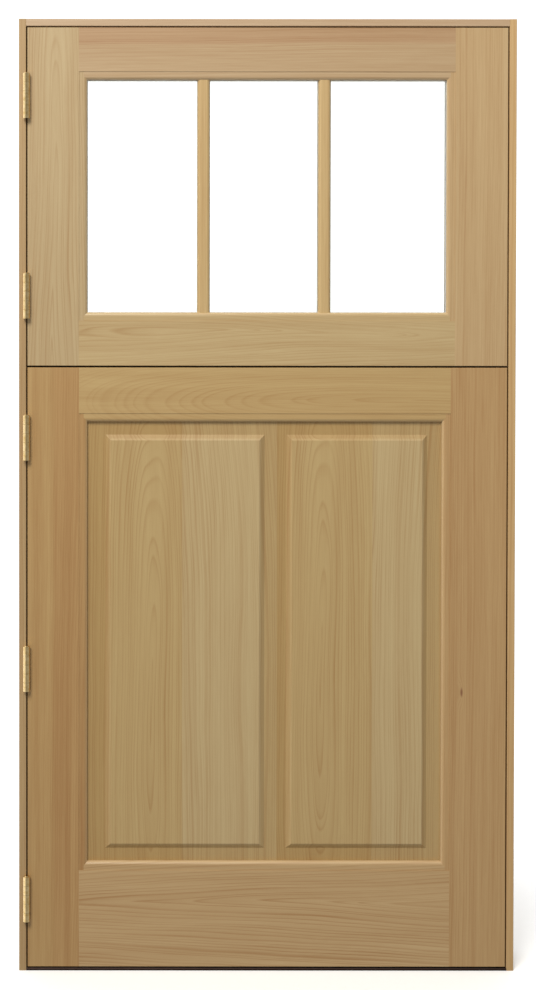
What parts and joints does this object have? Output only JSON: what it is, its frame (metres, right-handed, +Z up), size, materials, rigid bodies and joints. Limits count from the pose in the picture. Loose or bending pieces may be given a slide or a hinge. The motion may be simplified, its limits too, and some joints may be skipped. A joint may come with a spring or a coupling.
{
  "type": "dutch stable door",
  "caption": "Dutch stable door in its wooden frame: a glazed upper leaf and a panelled lower leaf that swing separately on brass butt hinges.",
  "frame": {"origin": "middle of the threshold's underside, halfway between the jambs and halfway through the frame's depth", "axes": "+X from the hinge side to the latch side, +Y from the front (the side with the hinge knuckles) to the back, +Z up"},
  "size_m": [1.105, 0.1318, 2.123],
  "materials": {
    "frame_wood": "clear satin varnish",
    "upper_leaf_wood": "clear satin varnish",
    "glazing_wood": "clear satin varnish",
    "lower_leaf_wood": "clear satin varnish",
    "panel_wood": "clear satin varnish",
    "dowel_beech": "bare",
    "hinge_brass": "polished",
    "screw_brass": "polished",
    "clear_glass": "clear",
    "spacer_aluminium": "mill",
    "threshold_bronze": "dark bronze anodised",
    "seal_rubber": "matt"
  },
  "bodies": {
    "frame": {"hinge_jamb": "frame_wood", "latch_jamb": "frame_wood", "head_jamb": "frame_wood", "threshold": "threshold_bronze", "hinge_side_stop": "frame_wood", "latch_side_stop": "frame_wood", "head_stop": "frame_wood", "hinge_side_seal": "seal_rubber", "latch_side_seal": "seal_rubber", "head_seal": "seal_rubber", "frame_screws": "screw_brass", "threshold_screws": "screw_brass", "jamb_hinge_screws": "screw_brass", "hinge_1_jamb_plate": "hinge_brass", "hinge_2_jamb_plate": "hinge_brass", "hinge_3_jamb_plate": "hinge_brass", "hinge_4_jamb_plate": "hinge_brass", "hinge_5_jamb_plate": "hinge_brass", "hinge_1_pin": "hinge_brass", "hinge_2_pin": "hinge_brass", "hinge_3_pin": "hinge_brass", "hinge_4_pin": "hinge_brass", "hinge_5_pin": "hinge_brass"},
    "upper_leaf": {"upper_hinge_stile": "upper_leaf_wood", "upper_latch_stile": "upper_leaf_wood", "upper_top_rail": "upper_leaf_wood", "upper_bottom_rail": "upper_leaf_wood", "left_glazing_bar": "glazing_wood", "right_glazing_bar": "glazing_wood", "left_front_pane": "clear_glass", "middle_front_pane": "clear_glass", "right_front_pane": "clear_glass", "left_back_pane": "clear_glass", "middle_back_pane": "clear_glass", "right_back_pane": "clear_glass", "left_spacer": "spacer_aluminium", "middle_spacer": "spacer_aluminium", "right_spacer": "spacer_aluminium", "setting_blocks": "seal_rubber", "left_beads": "glazing_wood", "middle_beads": "glazing_wood", "right_beads": "glazing_wood", "upper_dowels": "dowel_beech", "upper_hinge_screws": "screw_brass", "hinge_1_leaf_plate": "hinge_brass", "hinge_2_leaf_plate": "hinge_brass"},
    "lower_leaf": {"lower_hinge_stile": "lower_leaf_wood", "lower_latch_stile": "lower_leaf_wood", "lower_top_rail": "lower_leaf_wood", "lower_bottom_rail": "lower_leaf_wood", "lower_panel": "panel_wood", "lower_dowels": "dowel_beech", "lower_hinge_screws": "screw_brass", "meeting_seal": "seal_rubber", "hinge_3_leaf_plate": "hinge_brass", "hinge_4_leaf_plate": "hinge_brass", "hinge_5_leaf_plate": "hinge_brass"}
  },
  "joints": [
    {"name": "upper_leaf_swing", "type": "hinge", "parent": "frame", "child": "upper_leaf", "pos_m": [-0.535, -0.0663, 1.7265], "axis": [0, 0, -1], "range_deg": [0, 180]},
    {"name": "lower_leaf_swing", "type": "hinge", "parent": "frame", "child": "lower_leaf", "pos_m": [-0.535, -0.0663, 0.67675], "axis": [0, 0, -1], "range_deg": [0, 180]}
  ]
}
